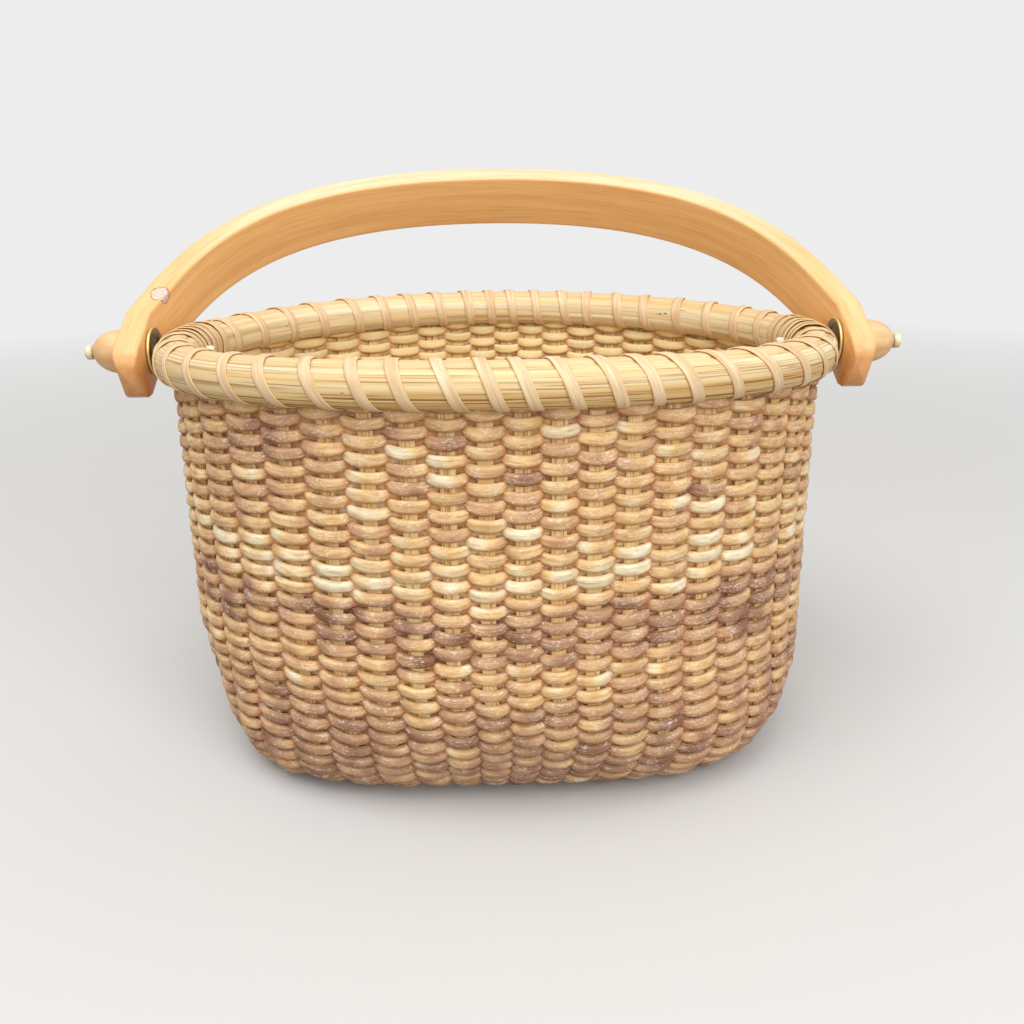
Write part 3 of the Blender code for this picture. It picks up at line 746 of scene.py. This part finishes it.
def weaver_tone(tree):
    """Tone of each stretch of the weaver: low is mauve, high is cream, with bands by height."""
    place = add(tree, "ShaderNodeTexCoord", {}).outputs["Object"]
    height = add(tree, "ShaderNodeSeparateXYZ", {"Vector": place}).outputs["Z"]
    height = math_node(tree, "MULTIPLY", height, 1 / RIM_TOP)
    drift = noise(tree, grain_space(tree, BAND_LENGTH, BAND_LENGTH))
    height = math_node(tree, "ADD", height, math_node(tree, "MULTIPLY", drift, BAND_DRIFT))
    bands = ramp(tree, height, BAND_TONES)
    stretch = noise(tree, grain_space(tree, STRETCH_LENGTH, BAND_LENGTH), 1)
    stretch = math_node(tree, "ADD", math_node(tree, "MULTIPLY", stretch, STRETCH_SPREAD), TONE_SHIFT)
    each = noise(tree, grain_space(tree, BUMP_LENGTH, BAND_LENGTH), 1)
    each = math_node(tree, "MULTIPLY", each, EACH_SPREAD)
    return math_node(tree, "ADD", math_node(tree, "ADD", stretch, each), bands)


def cane_material():
    """Weaver: mauve, tan, golden and cream stretches, with streaks and a rough bloom, and painted shade in the
    hollows and along the lower side.
    """
    material, tree, shader = new_material("basket_cane")
    tone = weaver_tone(tree)
    colour = ramp(tree, tone, WEAVER_COLOURS)
    patches = noise(tree, grain_space(tree, PATCH_LENGTH, PATCH_WIDTH), 2)
    colour = tinted(tree, colour, 0.8, ramp(tree, patches, [(0.35, shade(0.88, 0.79, 0.72)), (0.6, shade(1, 1, 1))]))
    face = math_node(tree, "ADD", grain_part(tree, "Z", 1 / WEAVER_THICKNESS), 0.5)
    colour = mix(tree, ramp(tree, face, [(0.3, 0.8), (0.5, 0.0)]), colour, shade(1.0, 0.90, 0.64))
    fibres = noise(tree, grain_space(tree, FIBRE_LENGTH, FIBRE_WIDTH), 3)
    colour = tinted(tree, colour, 0.5, ramp(tree, fibres, [(0.34, 0.6), (0.5, 1.0)]))
    # Painted shade: the lower side of the weaver's section is tinted darker brown.
    edge = math_node(tree, "ADD", grain_part(tree, "Y", 1 / WEAVER_STAVE_HEIGHT), 0.5)
    colour = tinted(tree, colour, ramp(tree, edge, [(0.06, 1.0), (0.32, 0.0)]), shade(0.88, 0.73, 0.57))
    # Painted shade: the weaver is tinted darker brown where it crosses in the gaps between staves.
    deep = ramp(tree, hollow_factor(tree), [(0.60, 0.0), (1.0, 0.8)])
    colour = tinted(tree, colour, deep, shade(0.82, 0.63, 0.42))
    rough = noise(tree, grain_space(tree, BUMP_LENGTH / 2, BUMP_LENGTH), 1)
    bloom = noise(tree, grain_space(tree, MARK_SIZE, BLOOM_SIZE), 3)
    bloom = math_node(tree, "ADD", bloom, math_node(tree, "MULTIPLY", rough, 0.35))
    bloom = ramp(tree, bloom, [(0.73, 0.0), (0.84, 0.55)])
    colour = mix(tree, bloom, colour, shade(0.97, 0.92, 0.87))
    relief = math_node(tree, "ADD", fibres, bloom)
    finish_shader(tree, shader, colour, ramp(tree, fibres, [(0.3, 0.8), (0.7, 0.6)]), relief, 0.7)
    return material


def stave_material():
    """Staves: light golden rattan with fine pale and dark lines along it."""
    material, tree, shader = new_material("basket_stave")
    tone = noise(tree, grain_space(tree, STREAK_LENGTH, STREAK_WIDTH * 4))
    colour = ramp(tree, tone, [(0.3, shade(0.98, 0.84, 0.57)), (0.7, shade(1.0, 0.93, 0.72))])
    lines = noise(tree, grain_space(tree, STREAK_LENGTH, STREAK_WIDTH / 2), 2)
    dark = ramp(tree, lines, [(0.36, shade(0.72, 0.52, 0.30)), (0.46, shade(1, 1, 1))])
    colour = tinted(tree, colour, 0.8, dark)
    colour = mix(tree, ramp(tree, lines, [(0.58, 0.0), (0.68, 0.5)]), colour, shade(1.0, 0.92, 0.72))
    fibres = noise(tree, grain_space(tree, FIBRE_LENGTH, FIBRE_WIDTH), 2)
    finish_shader(tree, shader, colour, ramp(tree, fibres, [(0.3, 0.75), (0.7, 0.55)]), lines, 0.6)
    return material


def hoop_material(name, wear_and_shade):
    """Hoop: straw rattan, smoother on top, with fine lengthwise lines, splits and knots, and painted shade that
    darkens its lower part.
    """
    material, tree, shader = new_material(name)
    tone = noise(tree, grain_space(tree, STREAK_LENGTH * 2, STREAK_WIDTH * 3))
    colour = ramp(tree, tone, HOOP_COLOURS)
    height = math_node(tree, "ADD", grain_part(tree, "Y", 1 / HOOP_HEIGHT), 0.5)
    # This share fades the lines and the painted shade from the bottom of the hoop to its top.
    low = ramp(tree, height, [(0.1, wear_and_shade), (0.75, wear_and_shade * 0.5)])
    lines = noise(tree, grain_space(tree, STREAK_LENGTH, STREAK_WIDTH * 0.6), 3)
    dark = ramp(tree, lines, [(0.38, shade(0.60, 0.44, 0.24)), (0.48, shade(1, 1, 1))])
    colour = tinted(tree, colour, low, dark)
    # Painted shade: the lower part of the hoop is tinted darker.
    colour = tinted(tree, colour, low, shade(0.95, 0.87, 0.74))
    splits = noise(tree, grain_space(tree, STREAK_LENGTH * 0.6, STREAK_WIDTH), 2)
    colour = tinted(tree, colour, 1.0, ramp(tree, splits, [(0.25, shade(0.42, 0.28, 0.14)), (0.29, shade(1, 1, 1))]))
    knots = noise(tree, grain_space(tree, KNOT_LENGTH, KNOT_WIDTH), 2)
    colour = tinted(tree, colour, 1.0, ramp(tree, knots, [(0.21, shade(0.45, 0.32, 0.17)), (0.25, shade(1, 1, 1))]))
    finish_shader(tree, shader, colour, ramp(tree, lines, [(0.3, 0.7), (0.7, 0.5)]), lines, 0.7)
    return material


def cane_strip_material(name, deep, light):
    """Flat cane of the lashings and the cap: smooth, faintly streaked, with small pale specks."""
    material, tree, shader = new_material(name)
    tone = noise(tree, grain_space(tree, BUMP_LENGTH, STREAK_WIDTH))
    colour = ramp(tree, tone, [(0.3, deep), (0.7, light)])
    edge = add(tree, "ShaderNodeMath", {0: grain_part(tree, "Y", 2 / LASHING_WIDTH)}, operation="ABSOLUTE").outputs[0]
    colour = mix(tree, ramp(tree, edge, [(0.82, 0.0), (0.97, 0.4)]), colour, shade(0.90, 0.74, 0.48))
    fibres = noise(tree, grain_space(tree, FIBRE_LENGTH, FIBRE_WIDTH), 2)
    colour = tinted(tree, colour, 0.3, ramp(tree, fibres, [(0.3, 0.65), (0.5, 1.0)]))
    specks = ramp(tree, noise(tree, grain_space(tree, BLOOM_SIZE, BLOOM_SIZE), 1), [(0.7, 0.0), (0.76, 0.6)])
    colour = mix(tree, specks, colour, shade(0.98, 0.95, 0.91))
    finish_shader(tree, shader, colour, ramp(tree, fibres, [(0.3, 0.6), (0.7, 0.42)]), fibres, 0.3)
    return material


def wood_material(name, deep, light, size):
    """Smooth oiled wood with long soft grain."""
    material, tree, shader = new_material(name)
    tone = noise(tree, grain_space(tree, size * 8, size), 3)
    colour = ramp(tree, tone, [(0.3, deep), (0.7, light)])
    pores = noise(tree, grain_space(tree, STREAK_LENGTH / 4, FIBRE_WIDTH), 2)
    colour = tinted(tree, colour, 0.35, ramp(tree, pores, [(0.32, 0.65), (0.45, 1.0)]))
    finish_shader(tree, shader, colour, ramp(tree, tone, [(0.3, 0.5), (0.7, 0.38)]), pores, 0.2)
    return material


def handle_material():
    """Handle: cream wood, golden down the legs, tan on its inner and outer faces as painted shade, stained at the
    feet, with a patch of bark.
    """
    material, tree, shader = new_material("basket_handle")
    tone = noise(tree, grain_space(tree, HANDLE_STREAK_LENGTH, HANDLE_STREAK_WIDTH), 3)
    outer = ramp(tree, tone, [(0.3, shade(0.94, 0.81, 0.62)), (0.7, shade(0.97, 0.88, 0.73))])
    # The tan colour is painted shade, for the faces that turn away from the light.
    inner = ramp(tree, tone, [(0.3, shade(0.94, 0.72, 0.46)), (0.7, shade(0.99, 0.80, 0.54))])
    end = hollow_factor(tree)
    place = add(tree, "ShaderNodeTexCoord", {}).outputs["Object"]
    across = add(tree, "ShaderNodeSeparateXYZ", {"Vector": place}).outputs["X"]
    across = add(tree, "ShaderNodeMath", {0: across}, operation="ABSOLUTE").outputs[0]
    legs = ramp(tree, math_node(tree, "MULTIPLY", across, 1 / RIM_HALF_LENGTH), [(0.72, 0.0), (1.0, 1.0)])
    legs = math_node(tree, "MULTIPLY", legs, math_node(tree, "SUBTRACT", 1, end))
    outer = tinted(tree, outer, legs, shade(0.98, 0.91, 0.79))
    # Painted shade: the inner face takes the tan colour fully and the outer face mostly.
    face = math_node(tree, "ADD", grain_part(tree, "Z", 1 / EAR_THICKNESS), 0.5)
    colour = mix(tree, ramp(tree, face, [(0.0, 1.0), (0.12, 0.0), (0.88, 0.0), (1.0, 0.8)]), outer, inner)
    pores = noise(tree, grain_space(tree, STREAK_LENGTH / 3, FIBRE_WIDTH * 1.5), 2)
    colour = tinted(tree, colour, 0.3, ramp(tree, pores, [(0.32, shade(0.78, 0.60, 0.42)), (0.45, shade(1, 1, 1))]))
    flecks = noise(tree, grain_space(tree, MARK_SIZE, BLOOM_SIZE), 2)
    colour = mix(tree, ramp(tree, flecks, [(0.72, 0.0), (0.77, 0.5)]), colour, shade(1.0, 0.93, 0.80))
    rough = noise(tree, grain_space(tree, MARK_SIZE * 2, MARK_SIZE * 2), 3)
    colour = tinted(tree, colour, ramp(tree, end, [(0.0, 0.0), (0.3, 1.0)]), shade(1.0, 0.88, 0.78))
    stain = math_node(tree, "MULTIPLY", end, math_node(tree, "ADD", rough, 0.4))
    colour = tinted(tree, colour, ramp(tree, stain, [(0.38, 0.0), (0.72, 0.8)]), shade(0.80, 0.50, 0.32))
    away = add(tree, "ShaderNodeVectorMath", {0: place, 1: BARK_POINT}, operation="DISTANCE").outputs["Value"]
    away = math_node(tree, "MULTIPLY", away, 1 / BARK_WIDTH)
    away = math_node(tree, "ADD", away, math_node(tree, "MULTIPLY", rough, 0.5))
    bark = ramp(tree, noise(tree, grain_space(tree, BLOOM_SIZE, BLOOM_SIZE), 2), BARK_TONES)
    colour = mix(tree, ramp(tree, away, [(0.71, 1.0), (0.75, 0.0)]), colour, bark)
    rim = ramp(tree, away, [(0.68, 0.0), (0.73, 0.8), (0.78, 0.0)])
    colour = tinted(tree, colour, rim, shade(0.45, 0.25, 0.14))
    finish_shader(tree, shader, colour, ramp(tree, tone, [(0.3, 0.48), (0.7, 0.36)]), pores, 0.2)
    return material


def brass_material():
    """Dull dark brass, with a painted highlight bright along the edge."""
    material, tree, shader = new_material("basket_brass")
    shader.inputs["Metallic"].default_value = 1
    wear = noise(tree, grain_space(tree, MARK_SIZE, MARK_SIZE), 4)
    colour = ramp(tree, wear, [(0.35, shade(0.42, 0.34, 0.22)), (0.65, shade(0.58, 0.49, 0.32))])
    grain = add(tree, "ShaderNodeAttribute", {}, attribute_name="grain").outputs["Vector"]
    scale = (0, 1 / WASHER_RADIUS, 1 / WASHER_RADIUS)
    flat = add(tree, "ShaderNodeVectorMath", {0: grain, 1: scale}, operation="MULTIPLY").outputs["Vector"]
    reach = add(tree, "ShaderNodeVectorMath", {0: flat}, operation="LENGTH").outputs["Value"]
    # Painted highlight: a pale brass ring along the washer's edge.
    colour = mix(tree, ramp(tree, reach, [(0.93, 0.0), (0.97, 1.0)]), colour, shade(0.95, 0.86, 0.58))
    finish_shader(tree, shader, colour, ramp(tree, wear, [(0.3, 0.5), (0.7, 0.32)]), wear, 0.2)
    return material


def board_material():
    """Base board: wood with its grain along the basket."""
    material, tree, shader = new_material("basket_board")
    place = add(tree, "ShaderNodeTexCoord", {}).outputs["Object"]
    scale = (1 / STREAK_LENGTH / 3, 1 / STREAK_WIDTH / 3, 1 / STREAK_WIDTH / 3)
    place = add(tree, "ShaderNodeVectorMath", {0: place, 1: scale}, operation="MULTIPLY").outputs["Vector"]
    tone = noise(tree, place, 4)
    colour = ramp(tree, tone, [(0.3, shade(0.62, 0.42, 0.22)), (0.7, shade(0.84, 0.64, 0.40))])
    finish_shader(tree, shader, colour, ramp(tree, tone, [(0.3, 0.5), (0.7, 0.36)]), tone, 0.3)
    return material


def make_floor():
    """Pale floor that fades into the background away from the basket."""
    angles = 2 * math.pi * np.arange(96) / 96
    ring = np.stack([np.cos(angles), np.sin(angles), 0 * angles], axis=-1)
    radii = (FLOOR_FADE_START / 100, FLOOR_FADE_START, FLOOR_FADE_END, FLOOR_RADIUS)
    rings = np.stack([ring * radius for radius in radii])
    points = rings.reshape(-1, 3)
    index = np.arange(len(points)).reshape(4, 96)
    quads = np.stack([index[:-1], np.roll(index[:-1], -1, 1), np.roll(index[1:], -1, 1), index[1:]], -1)
    mesh = bpy.data.meshes.new("floor")
    mesh.from_pydata(points.tolist(), [], quads.reshape(-1, 4).tolist() + [index[0].tolist()])
    mesh.materials.append(floor_material())
    floor = bpy.data.objects.new("floor", mesh)
    bpy.context.scene.collection.objects.link(floor)


def floor_material():
    material, tree, shader = new_material("stage_floor")
    place = add(tree, "ShaderNodeTexCoord", {}).outputs["Object"]
    reach = add(tree, "ShaderNodeVectorMath", {0: place}, operation="LENGTH").outputs["Value"]
    limits = {"Value": reach, "From Min": FLOOR_FADE_START, "From Max": FLOOR_FADE_END}
    far = add(tree, "ShaderNodeMapRange", limits).outputs["Result"]
    path = add(tree, "ShaderNodeLightPath", {})
    seen = math_node(tree, "MAXIMUM", path.outputs["Is Camera Ray"], path.outputs["Is Glossy Ray"])
    fade = add(tree, "ShaderNodeMath", {0: far, 1: seen}, operation="MULTIPLY").outputs[0]
    bounced = shade(0.55, 0.53, 0.5)
    tree.links.new(mix(tree, seen, bounced, FLOOR_COLOUR), shader.inputs["Base Color"])
    shader.inputs["Roughness"].default_value = 0.9
    glow = add(tree, "ShaderNodeEmission", {"Color": BACKGROUND})
    mixed = add(tree, "ShaderNodeMixShader", {0: fade, 1: shader.outputs[0], 2: glow.outputs[0]})
    tree.links.new(mixed.outputs[0], tree.nodes["Material Output"].inputs["Surface"])
    return material


def make_world():
    """Even light from all round; what the camera and reflections see is the background."""
    world = bpy.data.worlds.new("studio")
    bpy.context.scene.world = world
    world.use_nodes = True
    tree = world.node_tree
    light = tree.nodes["Background"]
    light.inputs["Color"].default_value = shade(1, 0.99, 0.97)
    light.inputs["Strength"].default_value = 0.62
    shown = add(tree, "ShaderNodeBackground", {"Color": BACKGROUND, "Strength": 1})
    path = add(tree, "ShaderNodeLightPath", {})
    seen = math_node(tree, "MAXIMUM", path.outputs["Is Camera Ray"], path.outputs["Is Glossy Ray"])
    seen = math_node(tree, "MAXIMUM", seen, path.outputs["Is Transmission Ray"])
    mixed = add(tree, "ShaderNodeMixShader", {0: seen, 1: light.outputs[0], 2: shown.outputs[0]})
    tree.links.new(mixed.outputs[0], tree.nodes["World Output"].inputs["Surface"])


def make_light(name, point, size, power):
    data = bpy.data.lights.new(name, "AREA")
    data.size = size
    data.energy = power
    lamp = bpy.data.objects.new(name, data)
    lamp.location = point
    aim = Vector((0, 0, RIM_TOP / 2)) - Vector(point)
    lamp.rotation_euler = aim.to_track_quat("-Z", "Y").to_euler()
    bpy.context.scene.collection.objects.link(lamp)


def make_camera():
    """Camera at the photograph's viewing angle."""
    data = bpy.data.cameras.new("view")
    data.lens = CAMERA_LENS
    data.sensor_width = CAMERA_SENSOR
    camera = bpy.data.objects.new("view", data)
    forward = Vector((
        math.sin(CAMERA_YAW) * math.cos(CAMERA_PITCH),
        math.cos(CAMERA_YAW) * math.cos(CAMERA_PITCH),
        math.sin(CAMERA_PITCH),
    ))
    level = Vector((math.cos(CAMERA_YAW), -math.sin(CAMERA_YAW), 0))
    above = level.cross(forward)
    right = level * math.cos(CAMERA_ROLL) + above * math.sin(CAMERA_ROLL)
    top = above * math.cos(CAMERA_ROLL) - level * math.sin(CAMERA_ROLL)
    turn = Matrix((right, top, -forward)).transposed().to_4x4()
    camera.matrix_world = Matrix.Translation(CAMERA_POINT) @ turn
    bpy.context.scene.collection.objects.link(camera)
    bpy.context.scene.camera = camera


def main():
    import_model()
    bpy.context.scene.view_settings.view_transform = "Standard"
    make_camera()
    make_world()
    make_light("key", KEY_LIGHT_POINT, KEY_LIGHT_SIZE, 6.3)
    make_light("fill", FILL_LIGHT_POINT, FILL_LIGHT_SIZE, 8.5)
    make_floor()
    wall = make_wall_grid()
    make_weaver(wall, cane_material())
    make_staves(wall, stave_material())
    outer = hoop_material("basket_outer_hoop", 1.0)
    inner = hoop_material("basket_inner_hoop", 0.4)
    make_hoop("outer_hoop", "outer_rim", OUTER_HOOP_THICKNESS, 1, OUTER_SCARF_PLACE, 100, outer)
    make_hoop("inner_hoop", "inner_rim", INNER_HOOP_THICKNESS, -1, INNER_SCARF_PLACE, 200, inner)
    make_cap(cane_strip_material("basket_cap", shade(0.90, 0.76, 0.58), shade(0.96, 0.87, 0.72)))
    lashing = cane_strip_material("basket_lashing", shade(0.85, 0.70, 0.52), shade(0.95, 0.85, 0.69))
    first_gap = 0
    for number, loops in enumerate(LASHING_LOOPS):
        make_lashing(number + 1, first_gap, loops, lashing)
        first_gap += loops
    for seed, side in enumerate(BINDING_PLACES):
        make_binding(side, seed + 5, lashing)
    make_handle(handle_material())
    pivots = {
        "pin_peg": wood_material("basket_peg", shade(0.90, 0.82, 0.66), shade(0.99, 0.96, 0.86), PEG_GRAIN_WIDTH),
        "washer_brass": brass_material(),
        "knob_wood": wood_material("basket_knob", shade(0.86, 0.66, 0.46), shade(0.95, 0.80, 0.60), KNOB_GRAIN_WIDTH),
    }
    make_pivot("right", 1, pivots)
    make_pivot("left", -1, pivots)
    bpy.data.objects["base_board"].data.materials[0] = board_material()


main()
